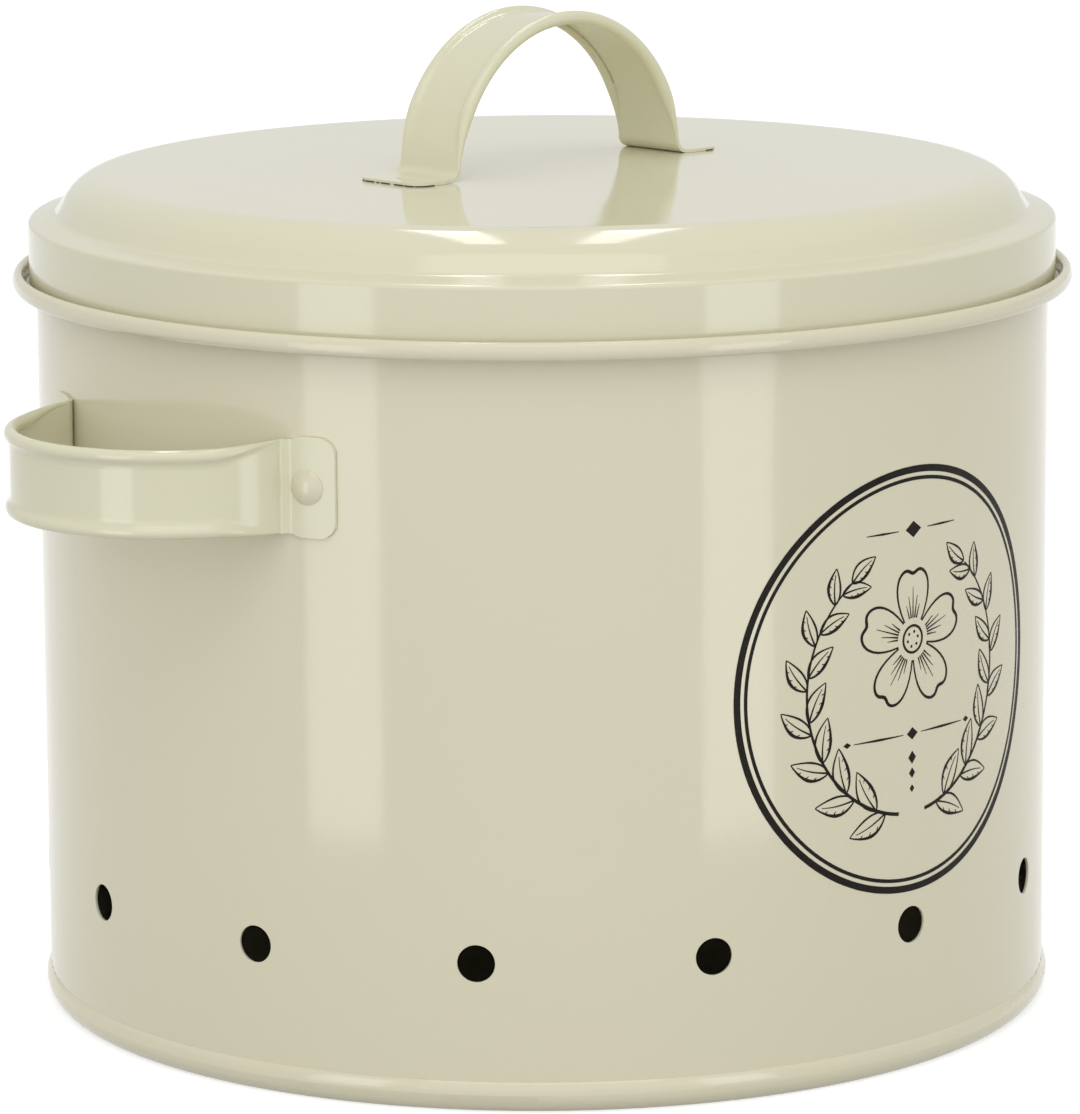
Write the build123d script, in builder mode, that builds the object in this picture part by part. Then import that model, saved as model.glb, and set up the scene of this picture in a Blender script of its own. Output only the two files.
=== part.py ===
from build123d import *
from math import asin, atan2, cos, degrees, radians, sin, sqrt, tan
import os

# Potato storage bin: a round painted steel bin with a lift-off lid, two riveted side handles,
# a strap handle welded to the lid and a ring of vent holes near the base.
# Millimetres. Z is up, the front of the bin faces -Y, and the origin is on the axis at the floor.

# ---- body: wall, rim and base ----
sheet = 0.6                      # steel sheet of the wall, the base and the lid
wall_radius = 140.0              # outside of the wall
seat_height = 199.9              # top of the ledge that the lid stands on
ledge_width = 3.4                # from the wall out to the inside of the collar
collar_height = 4.45             # from the ledge up to the top of the rolled rim
rim_roll_width = 3.1             # the roll is flattened: narrow across, tall up and down
rim_roll_height = 4.96
rim_roll_end = -105              # degrees round the roll where its cut edge stops
ledge_bends = (1.6, 1.0)         # bend radii below and above the ledge, at mid sheet

vent_count = 14
vent_diameter = 10.0
vent_height = 40.0

base_height = 6.0                # top of the base plate
wall_foot_height = 2.4           # of the wall's lower edge, inside the seam
seam_height = 8.2
seam_proud = 1.2                 # how far the rolled seam stands out from the wall
seam_belly_height = 4.8          # where the seam is widest
seam_tuck = 3.1                  # from the seam's widest point in to its foot
seam_foot_width = 0.8            # flat ring that the bin stands on
seam_heel = 0.9                  # from the foot in to the seam's inner face
seam_bends = (0.5, 0.7)          # on the inner face, at its top and at the foot
panel_inset = 24.0               # from the wall in to the middle of the base, which is pressed up
panel_rise = 1.6
panel_bend = 1.5
fit_gap = 0.03                   # between pieces that are clinched or riveted together

# ---- lid ----
lid_side_gap = 1.4               # between the lid's skirt and the collar
lid_lift_gap = 0.2               # between the skirt's hem and the ledge
hem_height = 5.0                 # the skirt's edge is folded back inside
hem_gap = 0.25
skirt_height = 18.2              # from the ledge to the outer edge of the shoulder
shoulder_width = 7.3
shoulder_rise = 1.6
step_run = 6.4                   # the sloped step from the shoulder to the crowned top
step_rise = 10.65
shoulder_bend = 0.9
step_foot_bend = 2.2
step_top_bend = 13.0
crown_radius = 7300.0            # the top is very slightly domed

# ---- strap handles ----
strap_sheet = 0.9
strap_roll_proud = 1.35          # how far the rolled edges stand out from each face of the strap
strap_roll_blend = 3.2           # hollow radius between the strap's outside and the rolled edge
strap_bend = 2.8                 # inside of the bend at each foot
strap_full_angle = 62.0          # the edges are fully rolled this far each side of the middle
strap_fade_steps = 5             # sections from there to the foot, where they are flat
strap_least_roll = 0.04          # of a full roll, at the foot
groove_width = 0.3               # open line along the roll's cut edge, inside the strap
groove_depth = 0.35
tab_corner = 4.5
tab_flare = 2.5                  # length over which the leg widens to the tab
tab_flare_bend = 2.0

side_handle_drop = 36.0          # of the handle's middle below the ledge
side_arch_inset = 4.9            # of the arch's centre inside the wall
side_arch_radius = 43.1          # outside of the strap
side_grip_half_width = 11.65
side_leg_half_width = 12.4
side_tab_half_width = 13.25
side_tab_length = 13.5           # from the arch's outside to the tab's end

lid_arch_drop = 1.05             # of the arch's centre below the crown's top
lid_arch_radius = 42.6
lid_grip_half_width = 12.2
lid_leg_half_width = 11.7
lid_tab_half_width = 12.5
lid_tab_length = 15.4
weld_inset = 8.6                 # of each spot weld's mark from the arch's outside
weld_diameter = 5.0
weld_depth = 0.35
weld_slope = 35                  # of the mark's side, in degrees from upright

rivet_inset = 5.7                # of each rivet from the arch's outside
rivet_shank_radius = 2.0
rivet_dome_radius = 4.65
rivet_dome_height = 1.8
rivet_flat_radius = 4.2
rivet_flat_height = 1.1

os.makedirs("parts", exist_ok=True)


def finish(piece, name):
    """Label a finished sub-part and write it."""
    piece.part.label = name
    export_step(piece.part, f"parts/{name}.step")


# ---- body wall: one sheet from the base seam up to the rolled rim ----
rim_inner_radius = wall_radius + ledge_width
mid_wall = wall_radius - sheet / 2
mid_ledge = seat_height - sheet / 2
mid_collar = rim_inner_radius + sheet / 2
roll_half_width = (rim_roll_width - sheet) / 2
roll_half_height = (rim_roll_height - sheet) / 2
roll_centre = (mid_collar + roll_half_width, seat_height + collar_height - rim_roll_height / 2)

side_handle_height = seat_height - side_handle_drop
side_rivet_angle = degrees(asin((side_arch_radius + rivet_inset) / wall_radius))
rivet_angles = {
    "left_back_rivet": 180 - side_rivet_angle,
    "left_front_rivet": 180 + side_rivet_angle,
    "right_back_rivet": side_rivet_angle,
    "right_front_rivet": -side_rivet_angle,
}


def radial_plane(angle, height):
    """A plane on the bin's axis that faces outward at this angle from +X."""
    outward = (cos(radians(angle)), sin(radians(angle)), 0)
    return Plane(origin=(0, 0, height), x_dir=(-outward[1], outward[0], 0), z_dir=outward)


with BuildPart() as body_wall:
    with BuildSketch(Plane.XZ):
        with BuildLine() as wall_line:
            FilletPolyline(
                (mid_wall, wall_foot_height),
                (mid_wall, mid_ledge),
                (mid_collar, mid_ledge),
                (mid_collar, roll_centre[1]),
                radius=ledge_bends,
            )
            EllipticalCenterArc(
                roll_centre, roll_half_width, roll_half_height,
                start_angle=rim_roll_end, arc_size=180 - rim_roll_end,
            )
        trace(line_width=sheet)
    revolve(axis=Axis.Z)
    for vent in range(vent_count):
        with BuildSketch(radial_plane(vent * 360 / vent_count - 90, vent_height)):
            Circle(vent_diameter / 2)
    extrude(amount=wall_radius + sheet, mode=Mode.SUBTRACT)
    for angle in rivet_angles.values():
        with BuildSketch(radial_plane(angle, side_handle_height)):
            Circle(rivet_shank_radius + fit_gap)
    extrude(amount=wall_radius + sheet, mode=Mode.SUBTRACT)
finish(body_wall, "body_wall")


# ---- base: a plate whose edge wraps the wall's foot in a rolled seam ----
seam_outer_radius = wall_radius + seam_proud
foot_outer = seam_outer_radius - seam_tuck
foot_inner = foot_outer - seam_foot_width
seam_inner_radius = foot_inner - seam_heel
channel_outer = wall_radius + fit_gap
channel_inner = wall_radius - sheet - fit_gap
channel_floor = wall_foot_height - fit_gap
plate_middle = base_height - sheet / 2
panel_radius = wall_radius - panel_inset

with BuildPart() as base_plate:
    with BuildSketch(Plane.XZ):
        with BuildLine():
            inner_side = FilletPolyline(
                (channel_inner, base_height),
                (seam_inner_radius, base_height),
                (seam_inner_radius, 0),
                (foot_inner, 0),
                radius=seam_bends,
            )
            Line(inner_side @ 1, (foot_outer, 0))
            belly = (seam_outer_radius, seam_belly_height)
            TangentArc(belly, (foot_outer, 0), tangent=(0, -1))
            TangentArc(belly, (channel_outer, seam_height), tangent=(0, 1))
            Polyline(
                (channel_outer, seam_height),
                (channel_outer, channel_floor),
                (channel_inner, channel_floor),
                (channel_inner, base_height),
            )
        make_face()
        with BuildLine() as plate_line:
            FilletPolyline(
                (0, plate_middle + panel_rise),
                (panel_radius, plate_middle + panel_rise),
                (panel_radius + panel_rise, plate_middle),
                (seam_inner_radius + sheet / 2, plate_middle),
                radius=panel_bend,
            )
        trace(plate_line.edges(), line_width=sheet)
    revolve(axis=Axis.Z)
finish(base_plate, "base_plate")


# ---- lid: one pressed sheet, with its lower edge folded back inside ----
mid_skirt = rim_inner_radius - lid_side_gap - sheet / 2
hem_turn = (hem_gap + sheet) / 2
mid_hem = mid_skirt - 2 * hem_turn
hem_bottom = seat_height + lid_lift_gap + sheet / 2 + hem_turn
mid_shoulder = (mid_skirt, seat_height + skirt_height - sheet / 2)
mid_step_foot = (mid_shoulder[0] - shoulder_width, mid_shoulder[1] + shoulder_rise)
mid_step_top = (mid_step_foot[0] - step_run, mid_step_foot[1] + step_rise)
mid_crown_radius = crown_radius - sheet / 2
crown_join = mid_step_top[0] - step_top_bend            # radius of the top inside its rounded edge
crown_slope = asin(crown_join / mid_crown_radius)
crown_join_height = mid_step_top[1] + step_top_bend * tan(crown_slope)
crown_centre_height = crown_join_height - mid_crown_radius * cos(crown_slope)
crown_top = crown_centre_height + crown_radius          # the highest point of the sheet

with BuildPart() as lid_pan:
    with BuildSketch(Plane.XZ):
        with BuildLine():
            hem = Line((mid_hem, hem_bottom + hem_height), (mid_hem, hem_bottom))
            turn = ThreePointArc(
                hem @ 1, (mid_skirt - hem_turn, hem_bottom - hem_turn), (mid_skirt, hem_bottom)
            )
            dome = FilletPolyline(
                turn @ 1,
                mid_shoulder,
                mid_step_foot,
                mid_step_top,
                (crown_join, crown_join_height),
                radius=(shoulder_bend, step_foot_bend, step_top_bend),
            )
            ThreePointArc(
                dome @ 1,
                (
                    mid_crown_radius * sin(crown_slope / 2),
                    crown_centre_height + mid_crown_radius * cos(crown_slope / 2),
                ),
                (0, crown_centre_height + mid_crown_radius),
            )
        trace(line_width=sheet)
    revolve(axis=Axis.Z)
finish(lid_pan, "lid_pan")


# ---- strap handles: an arch with rolled edges, a bend at each foot and two tabs ----
def cut_edge_inset(roll_radius):
    """From the middle of a rolled edge in to its cut edge, which lies on the strap's inside."""
    return sqrt(roll_radius**2 - (strap_sheet / 2) ** 2)


def strap_section(plane, arch_radius, half_width, roll):
    """Draw the strap's section, x out from the arch's centre, rolled from 0 (flat) to 1 (full)."""
    inside = arch_radius - strap_sheet
    middle = arch_radius - strap_sheet / 2
    roll_radius = strap_sheet / 2 + strap_roll_proud * roll
    roll_y = half_width - roll_radius
    cut_y = roll_y - cut_edge_inset(roll_radius)
    blend_x = arch_radius + strap_roll_blend
    blend_y = roll_y - sqrt((roll_radius + strap_roll_blend) ** 2 - (blend_x - middle) ** 2)
    meet = degrees(atan2(blend_y - roll_y, blend_x - middle))   # from the roll's centre to the blend's
    under_size = 180 - degrees(asin(strap_sheet / 2 / roll_radius))
    with BuildSketch(plane) as section:
        with BuildLine():
            CenterArc((blend_x, blend_y), strap_roll_blend, start_angle=180, arc_size=meet)
            CenterArc((middle, roll_y), roll_radius, start_angle=meet, arc_size=90 - meet)
            CenterArc((middle, roll_y), roll_radius, start_angle=90, arc_size=under_size)
            mirror(about=Plane.XZ)
            Line((arch_radius, -blend_y), (arch_radius, blend_y))
            Line((inside, cut_y), (inside, -cut_y))
        make_face()
    return section.sketch


def strap_handle(
    frame, arch_radius, grip_half_width, leg_half_width, tab_half_width, tab_length, seat_radius, seat_apex
):
    """A strap handle on a round seat.

    The frame's origin is the arch's centre, its x points away from the seat and its y along the span.
    The seat's surface crosses the frame's x axis at seat_apex.
    """
    mid_arch = arch_radius - strap_sheet / 2
    mid_tab = seat_radius + fit_gap + strap_sheet / 2
    mid_bend = strap_bend + strap_sheet / 2
    seat_x = seat_apex - seat_radius
    # The bend touches the arch and the tab, so its centre is where two circles cross.
    to_bend = mid_arch + mid_bend
    seat_to_bend = mid_tab + mid_bend
    bend_x = (to_bend**2 - seat_to_bend**2 + seat_x**2) / (2 * seat_x)
    bend_centre = Vector(bend_x, sqrt(to_bend**2 - bend_x**2))
    seat_centre = Vector(seat_x, 0)
    leg_end = bend_centre * (mid_arch / to_bend)
    tab_start = seat_centre + (bend_centre - seat_centre) * (mid_tab / seat_to_bend)
    bend_middle = bend_centre + ((leg_end + tab_start) / 2 - bend_centre).normalized() * mid_bend
    tab_reach = arch_radius + tab_length
    tab_middle_y = (tab_start.Y + tab_reach) / 2
    leg_angle = degrees(atan2(leg_end.Y, leg_end.X))

    def section_plane(angle):
        out = frame.x_dir * cos(radians(angle)) + frame.y_dir * sin(radians(angle))
        return Plane(origin=frame.origin, x_dir=out, z_dir=out.cross(frame.z_dir))

    with BuildPart() as strap:
        # feet: bend and tab, cut to the tab's outline
        with BuildSketch(frame):
            with BuildLine():
                ThreePointArc(leg_end, bend_middle, tab_start)
                ThreePointArc(
                    tab_start,
                    (seat_x + sqrt(mid_tab**2 - tab_middle_y**2), tab_middle_y),
                    (seat_x + sqrt(mid_tab**2 - tab_reach**2), tab_reach),
                )
            trace(line_width=strap_sheet)
            mirror(about=Plane.XZ)
        extrude(amount=tab_half_width, both=True)
        with BuildSketch(Plane(origin=frame.origin, x_dir=frame.y_dir, z_dir=frame.x_dir)):
            with BuildLine():
                FilletPolyline(
                    (0, leg_half_width),
                    (tab_start.Y, leg_half_width),
                    (tab_start.Y + tab_flare, tab_half_width),
                    (tab_reach, tab_half_width),
                    (tab_reach, 0),
                    radius=(tab_flare_bend, tab_flare_bend, tab_corner),
                )
                mirror(about=Plane.XZ)
                Line((0, leg_half_width), (0, -leg_half_width))
            make_face()
            mirror(about=Plane.YZ)
        extrude(amount=tab_reach, both=True, mode=Mode.INTERSECT)
        # grip: a plain turn of the full section
        full_section = strap_section(section_plane(-strap_full_angle), arch_radius, grip_half_width, 1)
        revolve(full_section, axis=Axis(frame.origin, frame.z_dir), revolution_arc=2 * strap_full_angle)
        # legs: the rolled edges fade out towards each foot
        for side in (-1, 1):
            fade_sections = []
            for step in range(strap_fade_steps + 1):
                along = step / strap_fade_steps
                angle = strap_full_angle + (leg_angle - strap_full_angle) * along
                roll = 1 - along**2 * (3 - 2 * along) * (1 - strap_least_roll)
                half_width = leg_half_width + (grip_half_width - leg_half_width) * roll
                fade_plane = section_plane(side * angle)
                fade_sections.append(strap_section(fade_plane, arch_radius, half_width, roll))
            loft(fade_sections)
        # the rolls' cut edges show as two fine lines inside the grip
        full_roll_radius = strap_sheet / 2 + strap_roll_proud
        cut_edge_y = grip_half_width - full_roll_radius - cut_edge_inset(full_roll_radius)
        with BuildSketch(section_plane(-strap_full_angle)):
            with Locations((arch_radius - strap_sheet, 0)):
                with GridLocations(0, 2 * cut_edge_y, 1, 2):
                    Rectangle(2 * groove_depth, groove_width)
        revolve(
            axis=Axis(frame.origin, frame.z_dir), revolution_arc=2 * strap_full_angle, mode=Mode.SUBTRACT
        )
    return strap


side_arch_centre = wall_radius - side_arch_inset
side_frames = {
    "left": Plane(origin=(-side_arch_centre, 0, side_handle_height), x_dir=(-1, 0, 0), z_dir=(0, 0, 1)),
    "right": Plane(origin=(side_arch_centre, 0, side_handle_height), x_dir=(1, 0, 0), z_dir=(0, 0, 1)),
}
for side_name, side_frame in side_frames.items():
    side_strap = strap_handle(
        side_frame, side_arch_radius, side_grip_half_width, side_leg_half_width, side_tab_half_width,
        side_tab_length, seat_radius=wall_radius, seat_apex=side_arch_inset,
    )
    with BuildPart() as side_handle:
        add(side_strap.part)
        for angle in rivet_angles.values():
            with BuildSketch(radial_plane(angle, side_handle_height)):
                Circle(rivet_shank_radius + fit_gap)
        extrude(amount=wall_radius + side_arch_radius, mode=Mode.SUBTRACT)
    finish(side_handle, f"{side_name}_handle")

lid_strap = strap_handle(
    Plane(origin=(0, 0, crown_top - lid_arch_drop), x_dir=(0, 0, 1), z_dir=(0, 1, 0)),
    lid_arch_radius, lid_grip_half_width, lid_leg_half_width, lid_tab_half_width,
    lid_tab_length, seat_radius=crown_radius, seat_apex=lid_arch_drop,
)
weld_offset = lid_arch_radius + weld_inset
weld_seat = crown_centre_height + sqrt(crown_radius**2 - weld_offset**2)
weld_floor = weld_seat + fit_gap + strap_sheet - weld_depth

with BuildPart() as lid_handle:
    add(lid_strap.part)
    with BuildSketch(Plane.XY.offset(weld_floor)):
        with GridLocations(2 * weld_offset, 0, 2, 1):
            Circle(weld_diameter / 2 - weld_depth * tan(radians(weld_slope)))
    extrude(amount=strap_bend / 2, taper=-weld_slope, mode=Mode.SUBTRACT)
finish(lid_handle, "lid_handle")


# ---- rivets: a domed head over the tab, a shank and a flat head inside the wall ----
dome_seat = wall_radius + fit_gap + strap_sheet + fit_gap
flat_seat = sqrt((wall_radius - sheet) ** 2 - rivet_flat_radius**2) - fit_gap

for rivet_name, angle in rivet_angles.items():
    rivet_face = radial_plane(angle, side_handle_height)
    with BuildPart() as rivet:
        with BuildSketch(Plane(origin=rivet_face.origin, x_dir=rivet_face.z_dir, z_dir=rivet_face.x_dir)):
            with BuildLine():
                dome = TangentArc(
                    (dome_seat + rivet_dome_height, 0), (dome_seat, rivet_dome_radius), tangent=(0, 1)
                )
                Polyline(
                    dome @ 1,
                    (dome_seat, rivet_shank_radius),
                    (flat_seat, rivet_shank_radius),
                    (flat_seat, rivet_flat_radius),
                    (flat_seat - rivet_flat_height, rivet_flat_radius),
                    (flat_seat - rivet_flat_height, 0),
                    dome @ 0,
                )
            make_face()
        revolve(axis=Axis(rivet_face.origin, rivet_face.z_dir))
    finish(rivet, rivet_name)
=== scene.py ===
"""Looks of the vegetable storage bin: glossy cream paint, a printed badge, a plain studio, the camera."""
import math

import bmesh
import bpy
from mathutils import Matrix, Quaternion, Vector


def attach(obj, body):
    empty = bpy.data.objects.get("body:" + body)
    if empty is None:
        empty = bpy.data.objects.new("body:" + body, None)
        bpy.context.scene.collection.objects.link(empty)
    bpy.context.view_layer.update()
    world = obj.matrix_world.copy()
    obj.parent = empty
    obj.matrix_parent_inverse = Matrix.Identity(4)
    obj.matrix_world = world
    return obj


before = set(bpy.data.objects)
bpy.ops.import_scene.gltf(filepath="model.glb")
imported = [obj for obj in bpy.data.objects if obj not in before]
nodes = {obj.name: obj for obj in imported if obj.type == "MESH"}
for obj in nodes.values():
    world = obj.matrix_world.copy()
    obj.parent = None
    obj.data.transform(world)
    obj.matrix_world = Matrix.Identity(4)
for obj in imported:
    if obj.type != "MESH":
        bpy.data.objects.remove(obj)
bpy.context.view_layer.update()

MM = 0.001
WALL_RADIUS = 140.0 * MM
BADGE_HEIGHT = 106.6 * MM        # centre of the printed badge, on the front (-Y)
INK_LIFT = 0.04 * MM

PAINT = (0.690, 0.652, 0.480)    # cream, linear
LID_PAINT = (0.686, 0.661, 0.486)
STRAP_PAINT = (0.683, 0.666, 0.480)
INK = (0.0075, 0.0065, 0.0050)
# painted shadow: the dark line in the hairline gap under the ends of the lid handle's tabs
TAB_SHADOW_COLOUR = (0.030, 0.028, 0.016)
PAINT_IOR = 1.55
INK_SPECULAR = 0.1

# noise scales, per metre, and depths of relief
CLOUD_SCALE = 11.0               # slow change of the paint's shade
GRAIN_SCALE = 1400.0             # pigment
GLOSS_SCALE = 38.0               # uneven gloss
WAVE_SCALE = 16.0                # waviness of the sheet
PEEL_SCALE = 420.0               # orange peel
INK_SCALE = 900.0                # uneven density of the ink
INK_GRAIN_SCALE = 600.0
SHADOW_BREAK_SCALE = 330.0             # breaks in the painted shadow line under the tabs
WAVE_DEPTH = 0.30 * MM
PEEL_DEPTH = 0.0085 * MM
INK_DEPTH = 0.004 * MM


# ---------------------------------------------------------------- materials
def new_material(name):
    material = bpy.data.materials.new(name)
    material.use_nodes = True
    tree = material.node_tree
    tree.nodes.clear()
    output = tree.nodes.new("ShaderNodeOutputMaterial")
    shader = tree.nodes.new("ShaderNodeBsdfPrincipled")
    tree.links.new(shader.outputs["BSDF"], output.inputs["Surface"])
    return material, tree, shader


def noise(tree, vector, scale, detail=2.0, roughness=0.5):
    node = tree.nodes.new("ShaderNodeTexNoise")
    node.inputs["Scale"].default_value = scale
    node.inputs["Detail"].default_value = detail
    node.inputs["Roughness"].default_value = roughness
    tree.links.new(vector, node.inputs["Vector"])
    return node.outputs["Fac"]


def remap(tree, value, low, high, new_low, new_high):
    node = tree.nodes.new("ShaderNodeMapRange")
    node.inputs["From Min"].default_value = low
    node.inputs["From Max"].default_value = high
    node.inputs["To Min"].default_value = new_low
    node.inputs["To Max"].default_value = new_high
    tree.links.new(value, node.inputs["Value"])
    return node.outputs["Result"]


def mix_colour(tree, factor, first, second):
    node = tree.nodes.new("ShaderNodeMix")
    node.data_type = "RGBA"
    sockets = (node.inputs[0], node.inputs[6], node.inputs[7])
    for socket, value in zip(sockets, (factor, first, second)):
        if isinstance(value, float):
            socket.default_value = value
        elif isinstance(value, tuple):
            socket.default_value = (*value, 1.0)
        else:
            tree.links.new(value, socket)
    return node.outputs[2]


def bump(tree, height, distance, normal=None):
    node = tree.nodes.new("ShaderNodeBump")
    node.inputs["Strength"].default_value = 1.0
    node.inputs["Distance"].default_value = distance
    tree.links.new(height, node.inputs["Height"])
    if normal is not None:
        tree.links.new(normal, node.inputs["Normal"])
    return node.outputs["Normal"]


def object_place(tree):
    return tree.nodes.new("ShaderNodeTexCoord").outputs["Object"]


def scaled(colour, factor):
    return tuple(channel * factor for channel in colour)


def glossy_paint(name, colour=PAINT, gloss=0.10, peel=1.0, wave=1.0):
    """Stoved enamel on sheet steel: fine orange peel, a slow waviness of the sheet, uneven gloss."""
    material, tree, shader = new_material(name)
    place = object_place(tree)
    clouds = remap(tree, noise(tree, place, CLOUD_SCALE, 3.0), 0.35, 0.65, 0.0, 1.0)
    grain = remap(tree, noise(tree, place, GRAIN_SCALE, 2.0, 0.6), 0.3, 0.7, 0.0, 1.0)
    body = mix_colour(tree, clouds, scaled(colour, 0.987), scaled(colour, 1.010))
    speck = mix_colour(tree, grain, scaled(colour, 0.985), scaled(colour, 1.012))
    tree.links.new(mix_colour(tree, 0.4, body, speck), shader.inputs["Base Color"])
    uneven = noise(tree, place, GLOSS_SCALE, 4.0, 0.6)
    tree.links.new(
        remap(tree, uneven, 0.3, 0.7, gloss * 0.85, gloss * 1.2), shader.inputs["Roughness"]
    )
    slow = bump(tree, noise(tree, place, WAVE_SCALE, 1.0), WAVE_DEPTH * wave)
    fine = bump(tree, noise(tree, place, PEEL_SCALE, 2.0, 0.55), PEEL_DEPTH * peel, slow)
    tree.links.new(fine, shader.inputs["Normal"])
    shader.inputs["IOR"].default_value = PAINT_IOR
    return material


def printed_ink(name):
    """Dark ink, a little uneven and duller than the paint."""
    material, tree, shader = new_material(name)
    place = object_place(tree)
    density = remap(tree, noise(tree, place, INK_SCALE, 3.0, 0.65), 0.35, 0.7, 0.0, 1.0)
    colour = mix_colour(tree, density, INK, scaled(INK, 2.2))
    tree.links.new(colour, shader.inputs["Base Color"])
    matt = noise(tree, place, INK_GRAIN_SCALE, 2.0)
    tree.links.new(remap(tree, matt, 0.3, 0.7, 0.36, 0.48), shader.inputs["Roughness"])
    shader.inputs["Specular IOR Level"].default_value = INK_SPECULAR
    tree.links.new(bump(tree, matt, INK_DEPTH), shader.inputs["Normal"])
    return material


def painted_tab_shadow(name):
    """Painted shadow in the hairline gap under the edge of a welded tab: a dark line, broken by the
    strap's paint here and there.
    """
    material, tree, shader = new_material(name)
    place = object_place(tree)
    unshaded = remap(tree, noise(tree, place, SHADOW_BREAK_SCALE, 2.0, 0.6), 0.56, 0.64, 0.0, 1.0)
    colour = mix_colour(tree, unshaded, TAB_SHADOW_COLOUR, STRAP_PAINT)
    tree.links.new(colour, shader.inputs["Base Color"])
    tree.links.new(remap(tree, unshaded, 0.0, 1.0, 0.7, 0.15), shader.inputs["Roughness"])
    return material


def new_object(name, build, material):
    """An object from the mesh that has been built."""
    mesh = bpy.data.meshes.new(name)
    build.to_mesh(mesh)
    build.free()
    mesh.materials.append(material)
    made = bpy.data.objects.new(name, mesh)
    bpy.context.scene.collection.objects.link(made)
    return made


def dress(node_name, material):
    mesh = nodes[node_name].data
    mesh.materials.clear()
    mesh.materials.append(material)


wall_paint = glossy_paint("cream_enamel_wall")
lid_paint = glossy_paint("cream_enamel_lid", LID_PAINT, gloss=0.09)
strap_paint = glossy_paint("cream_enamel_straps", STRAP_PAINT, gloss=0.12, wave=0.3)
small_paint = glossy_paint("cream_enamel_rivets", gloss=0.14, peel=0.8, wave=0.0)
for part in nodes:
    if part.endswith("_rivet"):
        dress(part, small_paint)
    elif part.endswith("_handle"):
        dress(part, strap_paint)
    elif part == "lid_pan":
        dress(part, lid_paint)
    else:
        dress(part, wall_paint)


# ---------------------------------------------------------------- printed badge
class Print:
    """Flat strokes laid on the front of the wall. u runs round the wall to the right, v runs up, in mm."""

    def __init__(self):
        self.mesh = bmesh.new()

    def vertex(self, u, v):
        angle = u * MM / WALL_RADIUS
        radius = WALL_RADIUS + INK_LIFT
        return self.mesh.verts.new(
            (radius * math.sin(angle), -radius * math.cos(angle), BADGE_HEIGHT + v * MM)
        )

    def stroke(self, points, width, end_width=None, middle_width=None, closed=False):
        """A line through the points; its width runs from width, by way of the middle, to end_width."""
        end_width = width if end_width is None else end_width
        count = len(points)
        pairs = []
        for i, (u, v) in enumerate(points):
            before = points[i - 1] if i or closed else points[i]
            after = points[(i + 1) % count] if i < count - 1 or closed else points[i]
            du, dv = after[0] - before[0], after[1] - before[1]
            length = math.hypot(du, dv) or 1.0
            along = i / (count - 1)
            if middle_width is None:
                w = width + (end_width - width) * along
            elif along < 0.5:
                w = width + (middle_width - width) * along * 2
            else:
                w = middle_width + (end_width - middle_width) * (along * 2 - 1)
            nu, nv = -dv / length * w / 2, du / length * w / 2
            pairs.append((self.vertex(u + nu, v + nv), self.vertex(u - nu, v - nv)))
        for i in range(count if closed else count - 1):
            (a, b), (c, d) = pairs[i], pairs[(i + 1) % count]
            self.mesh.faces.new((a, b, d, c))

    def blot(self, outline):
        """A filled shape."""
        self.mesh.faces.new([self.vertex(u, v) for u, v in outline])

    def object(self, name, material):
        bmesh.ops.recalc_face_normals(self.mesh, faces=self.mesh.faces)
        for face in self.mesh.faces:
            centre = face.calc_center_median()
            if face.normal.dot(Vector((centre.x, centre.y, 0))) < 0:
                face.normal_flip()
            face.smooth = True
        return new_object(name, self.mesh, material)


def arc(centre, radius, start, end, step=2.0):
    count = max(3, int(abs(end - start) / step) + 1)
    return [
        (
            centre[0] + radius * math.cos(math.radians(start + (end - start) * i / (count - 1))),
            centre[1] + radius * math.sin(math.radians(start + (end - start) * i / (count - 1))),
        )
        for i in range(count)
    ]


def ring(radius):
    return arc((0, 0), radius, 0, 358.5, 1.5)


def placed(points, origin, heading):
    """Points with x along the heading and y to its left, moved to the origin."""
    c, s = math.cos(math.radians(heading)), math.sin(math.radians(heading))
    return [(origin[0] + x * c - y * s, origin[1] + x * s + y * c) for x, y in points]


def leaf(badge, origin, heading, length, width, shaded_side):
    """A pointed leaf in line: outline, midrib and short hatching on its shaded side."""
    def middle_line(t):
        return (length * t, 0.05 * length * math.sin(math.pi * t))

    def edge(t, side):
        swell = math.sin(math.pi * t**0.82) ** 0.9
        return (length * t, side * width / 2 * swell + middle_line(t)[1])

    steps = [i / 18 for i in range(19)]
    for side in (-1, 1):
        outline = placed([edge(t, side) for t in steps], origin, heading)
        thick = 0.95 if side == shaded_side else 0.6
        badge.stroke(outline, 0.45, 0.3, middle_width=thick)
    rib = [middle_line(t) for t in steps[:16]]
    badge.stroke(placed(rib, origin, heading), 0.55, 0.2)
    for i in range(6):
        t = 0.2 + 0.105 * i
        foot = middle_line(t)
        tip = edge(min(t + 0.14, 0.97), shaded_side)
        reach = 0.55 + 0.35 * (i % 2)
        end = (foot[0] + (tip[0] - foot[0]) * reach, foot[1] + (tip[1] - foot[1]) * reach)
        start = (tip[0] + (foot[0] - tip[0]) * 0.04, tip[1] + (foot[1] - tip[1]) * 0.04)
        middle = ((start[0] + end[0]) / 2 + 0.1, (start[1] + end[1]) / 2)
        badge.stroke(placed([start, middle, end], origin, heading), 0.42, 0.16)


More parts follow.
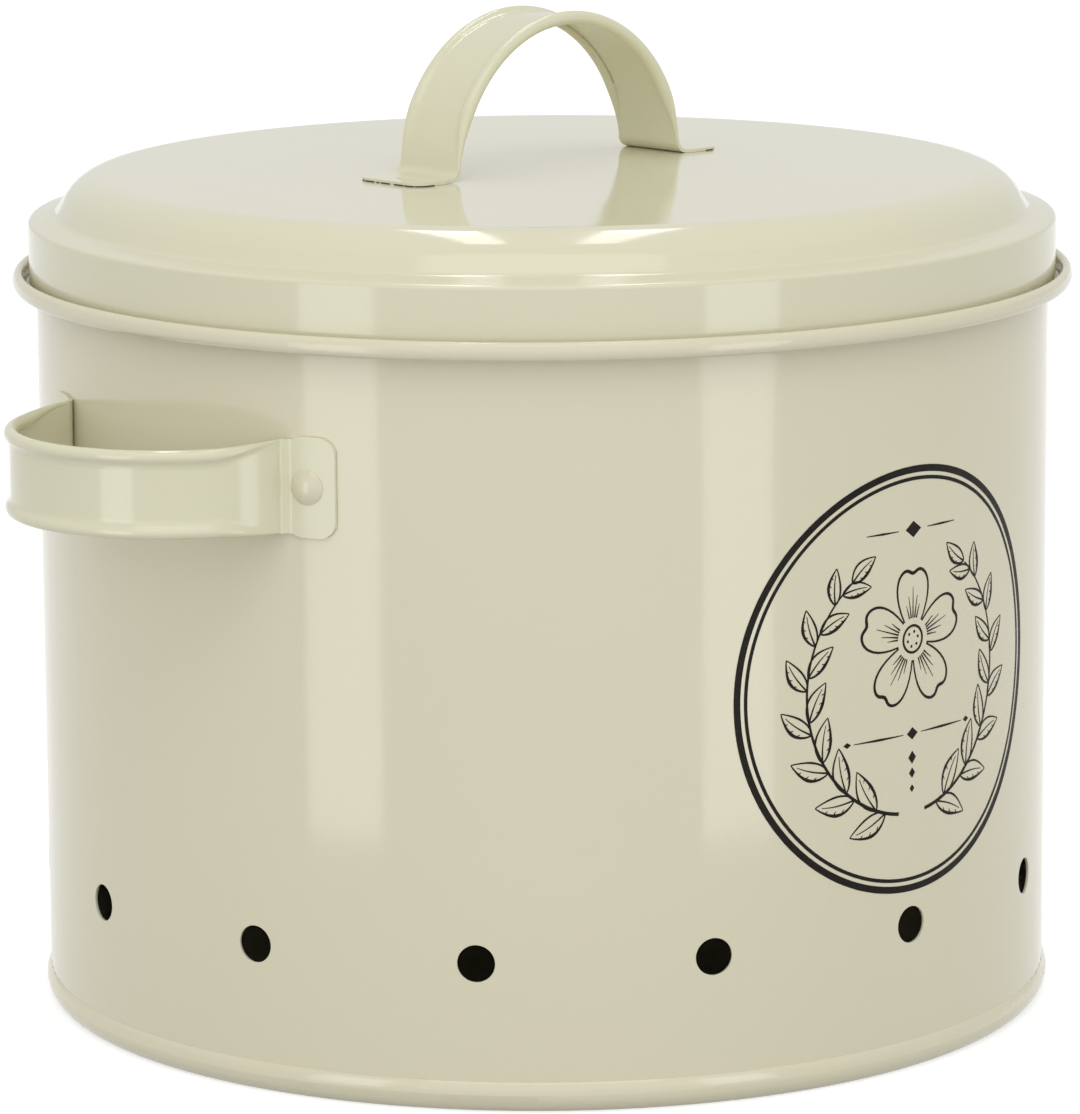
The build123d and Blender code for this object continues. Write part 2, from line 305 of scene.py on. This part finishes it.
def branch(badge, side):
    """A leafy branch that bows up one side of the badge."""
    bow = 36.0
    start, end = 262.0, 128.0
    stem = arc((0, 0), bow, start, end, 2.5)
    stem = [(side * -u, v) for u, v in stem]
    badge.stroke(stem, 1.0, 0.45)
    leaves = 7
    for i in range(leaves):
        share = (i + 0.55) / leaves
        angle = start + (end - start) * share
        size = 13.6 - 4.2 * share
        for outward in (1, -1):
            turned = angle + (2.5 if outward > 0 else -3.0)
            u = bow * math.cos(math.radians(turned))
            v = bow * math.sin(math.radians(turned))
            heading = turned - 90 + outward * 38
            if side > 0:
                u, heading = -u, 180 - heading
            leaf(badge, (u, v), heading, size, size * 0.40, -outward * side)
    tip = math.radians(end - 1)
    u, v, heading = bow * math.cos(tip), bow * math.sin(tip), end - 90
    if side > 0:
        u, heading = -u, 180 - heading
    leaf(badge, (u, v), heading, 10.0, 4.2, side)


def blossom(badge, centre, size):
    """Five rounded petals with veins round a dotted middle."""
    for petal in range(5):
        heading = 90 + 72 * petal
        outline = []
        for i in range(29):
            t = -1 + i / 14
            spread = math.radians(34 * t)
            notch = 1 - 0.07 * math.exp(-(t / 0.16) ** 2)
            reach = size * (0.30 + 0.70 * (1 - abs(t) ** 3.2)) * notch
            outline.append((reach * math.cos(spread), reach * math.sin(spread)))
        badge.stroke(placed(outline, centre, heading), 0.5, 0.5, middle_width=1.0)
        for vein in (-18, -9, 0, 9, 18):
            long = size * (0.74 if vein == 0 else 0.62 if abs(vein) == 9 else 0.5)
            line = []
            for r in (size * 0.30, (size * 0.30 + long) / 2, long):
                bend = math.radians(vein * (0.6 + 0.5 * r / size))
                line.append((r * math.cos(bend), r * math.sin(bend)))
            badge.stroke(placed(line, centre, heading), 0.5, 0.16)
    badge.stroke([(centre[0] + u, centre[1] + v) for u, v in ring(size * 0.19)], 0.7, closed=True)
    dot = [(0.42 * math.cos(i * 0.785), 0.42 * math.sin(i * 0.785)) for i in range(8)]
    for i in range(6):
        a = math.radians(60 * i + 15)
        u, v = centre[0] + size * 0.105 * math.cos(a), centre[1] + size * 0.105 * math.sin(a)
        badge.blot([(u + du, v + dv) for du, dv in dot])


def lozenge(badge, centre, width, height):
    u, v = centre
    badge.blot([(u - width / 2, v), (u, v - height / 2), (u + width / 2, v), (u, v + height / 2)])


def tapered_rule(badge, start, end, width):
    count = 24
    run, rise = end[0] - start[0], end[1] - start[1]
    line = [(start[0] + run * i / count, start[1] + rise * i / count) for i in range(count + 1)]
    badge.stroke(line, 0.2, 0.2, middle_width=width)


RINGS = ((57.4, 1.9), (54.5, 1.0))   # outer radius and width of each, mm
LOWER_RULE, UPPER_RULE = -14.5, 40.5    # heights from the badge's centre, mm
BLOSSOM_HEIGHT, BLOSSOM_SIZE = 11.0, 19.0

badge = Print()
for outer, width in RINGS:
    badge.stroke(ring(outer - width / 2), width, closed=True)
for side in (-1, 1):
    branch(badge, side)
    tapered_rule(badge, (side * 3.4, LOWER_RULE), (side * 21.0, LOWER_RULE), 0.7)
    lozenge(badge, (side * 23.2, LOWER_RULE), 2.6, 1.6)
    tapered_rule(badge, (side * 5.5, UPPER_RULE), (side * 17.0, UPPER_RULE), 0.6)
blossom(badge, (0.0, BLOSSOM_HEIGHT), BLOSSOM_SIZE)
lozenge(badge, (0.0, LOWER_RULE), 4.2, 3.4)
lozenge(badge, (0.0, UPPER_RULE), 6.0, 4.4)
for i, size in enumerate((3.0, 2.4, 1.8)):
    lozenge(badge, (0.0, -21.0 - 4.2 * i), size, size * 1.2)
badge_print = badge.object("badge_print", printed_ink("badge_ink"))
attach(badge_print, "bin")


# ---------------------------------------------------------------- painted shadow under the ends of the lid handle's tabs
TAB_CORNER = 4.5 * MM
CROWN_RADIUS = 7300.0 * MM
SHADOW_HEIGHT = 0.32 * MM           # of the painted shadow line, up the tab's side
SHADOW_PROUD = 0.03 * MM            # from the tab's side
SHADOW_LENGTH = 6.0 * MM            # along each side of a tab, from its end
handle_box = nodes["lid_handle"].bound_box
tab_reach = max(corner[0] for corner in handle_box) + SHADOW_PROUD
tab_half_width = max(corner[1] for corner in handle_box) + SHADOW_PROUD
lid_top = max(corner[2] for corner in nodes["lid_pan"].bound_box)


def tab_shadow_line(name, side, material):
    """A thin upright ribbon of painted shadow round the end of one tab, down on the lid."""
    middle = (tab_reach - TAB_CORNER, tab_half_width - TAB_CORNER)
    front = [(tab_reach - SHADOW_LENGTH, -tab_half_width)]
    front += arc((middle[0], -middle[1]), TAB_CORNER, -90, 0, 9.0)
    back = arc(middle, TAB_CORNER, 0, 90, 9.0) + [(tab_reach - SHADOW_LENGTH, tab_half_width)]
    build = bmesh.new()
    ribbon = []
    for x, y in front + back:
        foot = lid_top - (x * x + y * y) / (2 * CROWN_RADIUS)
        ribbon.append([build.verts.new((side * x, y, foot + up)) for up in (0.0, SHADOW_HEIGHT)])
    for (a, b), (c, d) in zip(ribbon, ribbon[1:]):
        build.faces.new((a, c, d, b) if side > 0 else (b, d, c, a))
    piece = new_object(name, build, material)
    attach(piece, "lid")


# dark ribbons that paint the shadow under each tab's end on the lid
tab_shadow_material = painted_tab_shadow("painted_shadow_under_tabs")
tab_shadow_line("left_tab_painted_shadow", -1, tab_shadow_material)
tab_shadow_line("right_tab_painted_shadow", 1, tab_shadow_material)


# ---------------------------------------------------------------- studio
CAMERA_AZIMUTH = 43.9            # the camera stands this far round from the front, towards -X
turn = math.radians(CAMERA_AZIMUTH)
toward_camera = Vector((-math.sin(turn), -math.cos(turn), 0.0))
to_the_right = Vector((math.cos(turn), -math.sin(turn), 0.0))


def studio_point(side_angle, distance, height):
    """A point round the object, its angle counted from the camera, to the right."""
    a = math.radians(side_angle)
    flat = toward_camera * math.cos(a) + to_the_right * math.sin(a)
    return Vector((flat.x * distance, flat.y * distance, height))


def panel(name, place, target, width, height, radiance, mirrored_only=False):
    """A soft box; the ones that are only mirrored in the paint add no light of their own."""
    data = bpy.data.lights.new(name, "AREA")
    data.shape = "RECTANGLE"
    data.size, data.size_y = width, height
    data.energy = radiance * width * height * 4
    lamp = bpy.data.objects.new(name, data)
    bpy.context.scene.collection.objects.link(lamp)
    lamp.location = place
    lamp.rotation_mode = "QUATERNION"
    lamp.rotation_quaternion = (Vector(target) - Vector(place)).to_track_quat("-Z", "Y")
    lamp.visible_camera = False
    lamp.visible_diffuse = not mirrored_only
    return lamp


# two upright strips beside the camera, mirrored in the wall: side, and edges as angles round the bin
STRIPS = ((-1, 30.5, 45.4), (1, 29.6, 43.8))
STRIP_DISTANCE, STRIP_HEIGHT, STRIP_RADIANCE = 0.42, 0.24, 1.35
# two long windows overhead, mirrored in the slope of the lid
WINDOW_SIDE, WINDOW_BACK, WINDOW_UP = 0.16, 0.50, 1.43
WINDOW_WIDTH, WINDOW_LENGTH, WINDOW_RADIANCE = 0.12, 1.27, 3.8

for side, inner, outer in STRIPS:
    middle = side * (inner + outer) / 2
    width = 2 * STRIP_DISTANCE * math.tan(math.radians((outer - inner) / 2))
    half_way = STRIP_HEIGHT / 2
    place = studio_point(middle, STRIP_DISTANCE, half_way)
    target = (0, 0, half_way)
    panel(f"strip_{side}", place, target, width, STRIP_HEIGHT, STRIP_RADIANCE, mirrored_only=True)
    place = to_the_right * side * WINDOW_SIDE - toward_camera * WINDOW_BACK
    place += Vector((0, 0, WINDOW_UP))
    below = place - Vector((0, 0, 1))
    window = panel(
        f"window_{side}", place, below, WINDOW_WIDTH, WINDOW_LENGTH, WINDOW_RADIANCE, mirrored_only=True
    )
    window.rotation_quaternion = Quaternion((0, 0, 1), -turn)
# two soft boxes that light the front: name, distance, height, height aimed at, width, height, radiance
SOFT_BOXES = (
    ("front_fill", 1.6, 0.55, 0.12, 3.6, 1.2, 0.38),
    ("top_front", 1.2, 1.7, 0.2, 1.6, 0.8, 0.9),
)
for name, distance, up, aim, width, height, radiance in SOFT_BOXES:
    panel(name, studio_point(0, distance, up), (0, 0, aim), width, height, radiance)

# how bright the world is to the camera, in mirrored rays and as light on the object
WORLD_SEEN, WORLD_MIRRORED, WORLD_FILL = 1.0, 0.80, 0.86


def background(tree, level):
    node = tree.nodes.new("ShaderNodeBackground")
    node.inputs["Color"].default_value = (level, level, level, 1)
    return node


def choose(tree, ray, otherwise, chosen):
    node = tree.nodes.new("ShaderNodeMixShader")
    for socket, source in zip(node.inputs, (ray, otherwise.outputs[0], chosen.outputs[0])):
        tree.links.new(source, socket)
    return node


world = bpy.data.worlds.new("studio_white")
bpy.context.scene.world = world
world.use_nodes = True
tree = world.node_tree
tree.nodes.clear()
rays = tree.nodes.new("ShaderNodeLightPath")
seen = background(tree, WORLD_SEEN)
mirrored = background(tree, WORLD_MIRRORED)
fill = background(tree, WORLD_FILL)
glossy_or_fill = choose(tree, rays.outputs["Is Glossy Ray"], fill, mirrored)
shown = choose(tree, rays.outputs["Is Camera Ray"], glossy_or_fill, seen)
world_out = tree.nodes.new("ShaderNodeOutputWorld")
tree.links.new(shown.outputs[0], world_out.inputs["Surface"])

FLOOR_HALF = 12.0
FLOOR_GREY = 0.55
FLOOR_GLOW = (("Is Camera Ray", 0.62), ("Is Glossy Ray", 0.58))

floor_material = bpy.data.materials.new("studio_floor")
floor_material.use_nodes = True
tree = floor_material.node_tree
tree.nodes.clear()
rays = tree.nodes.new("ShaderNodeLightPath")
matt = tree.nodes.new("ShaderNodeBsdfDiffuse")
matt.inputs["Color"].default_value = (FLOOR_GREY, FLOOR_GREY, FLOOR_GREY, 1)
glow = tree.nodes.new("ShaderNodeEmission")
glow.inputs["Color"].default_value = (1, 1, 1, 1)
shown = tree.nodes.new("ShaderNodeMath")
shown.operation = "MAXIMUM"
for i, (ray, strength) in enumerate(FLOOR_GLOW):
    level = tree.nodes.new("ShaderNodeMath")
    level.operation = "MULTIPLY"
    level.inputs[1].default_value = strength
    tree.links.new(rays.outputs[ray], level.inputs[0])
    tree.links.new(level.outputs[0], shown.inputs[i])
tree.links.new(shown.outputs[0], glow.inputs["Strength"])
both = tree.nodes.new("ShaderNodeAddShader")
tree.links.new(matt.outputs[0], both.inputs[0])
tree.links.new(glow.outputs[0], both.inputs[1])
out = tree.nodes.new("ShaderNodeOutputMaterial")
tree.links.new(both.outputs[0], out.inputs["Surface"])

build = bmesh.new()
bmesh.ops.create_grid(build, x_segments=4, y_segments=4, size=FLOOR_HALF)
floor = new_object("studio_floor", build, floor_material)
floor.location.z = -0.05 * MM

# the camera, as solved from the photograph
FOCAL_PIXELS, LONG_SIDE_PIXELS = 5936.04, 1114
CAMERA_DISTANCE, CAMERA_HEIGHT = 1.63267, 0.43955
CAMERA_PITCH, CAMERA_ROLL, CAMERA_YAW = 11.057, -0.365, -0.04
SENSOR = 36.0

camera_data = bpy.data.cameras.new("photo_camera")
camera_data.sensor_fit = "AUTO"
camera_data.sensor_width = SENSOR
camera_data.lens = SENSOR * FOCAL_PIXELS / LONG_SIDE_PIXELS
camera_data.clip_start, camera_data.clip_end = 0.05, 60.0
camera = bpy.data.objects.new("photo_camera", camera_data)
bpy.context.scene.collection.objects.link(camera)
pitch, roll, yaw = (math.radians(a) for a in (CAMERA_PITCH, CAMERA_ROLL, CAMERA_YAW))
away = -toward_camera
forward = (
    away * math.cos(yaw) * math.cos(pitch) + to_the_right * math.sin(yaw) * math.cos(pitch)
    + Vector((0, 0, -math.sin(pitch)))
)
level_right = to_the_right * math.cos(yaw) - away * math.sin(yaw)
level_up = level_right.cross(forward)
right = level_right * math.cos(roll) + level_up * math.sin(roll)
up = level_up * math.cos(roll) - level_right * math.sin(roll)
rotation = Matrix((right, up, -forward)).transposed()
place = toward_camera * CAMERA_DISTANCE + Vector((0, 0, CAMERA_HEIGHT))
camera.matrix_world = Matrix.Translation(place) @ rotation.to_4x4()
bpy.context.scene.camera = camera
bpy.context.scene.view_settings.view_transform = "Standard"
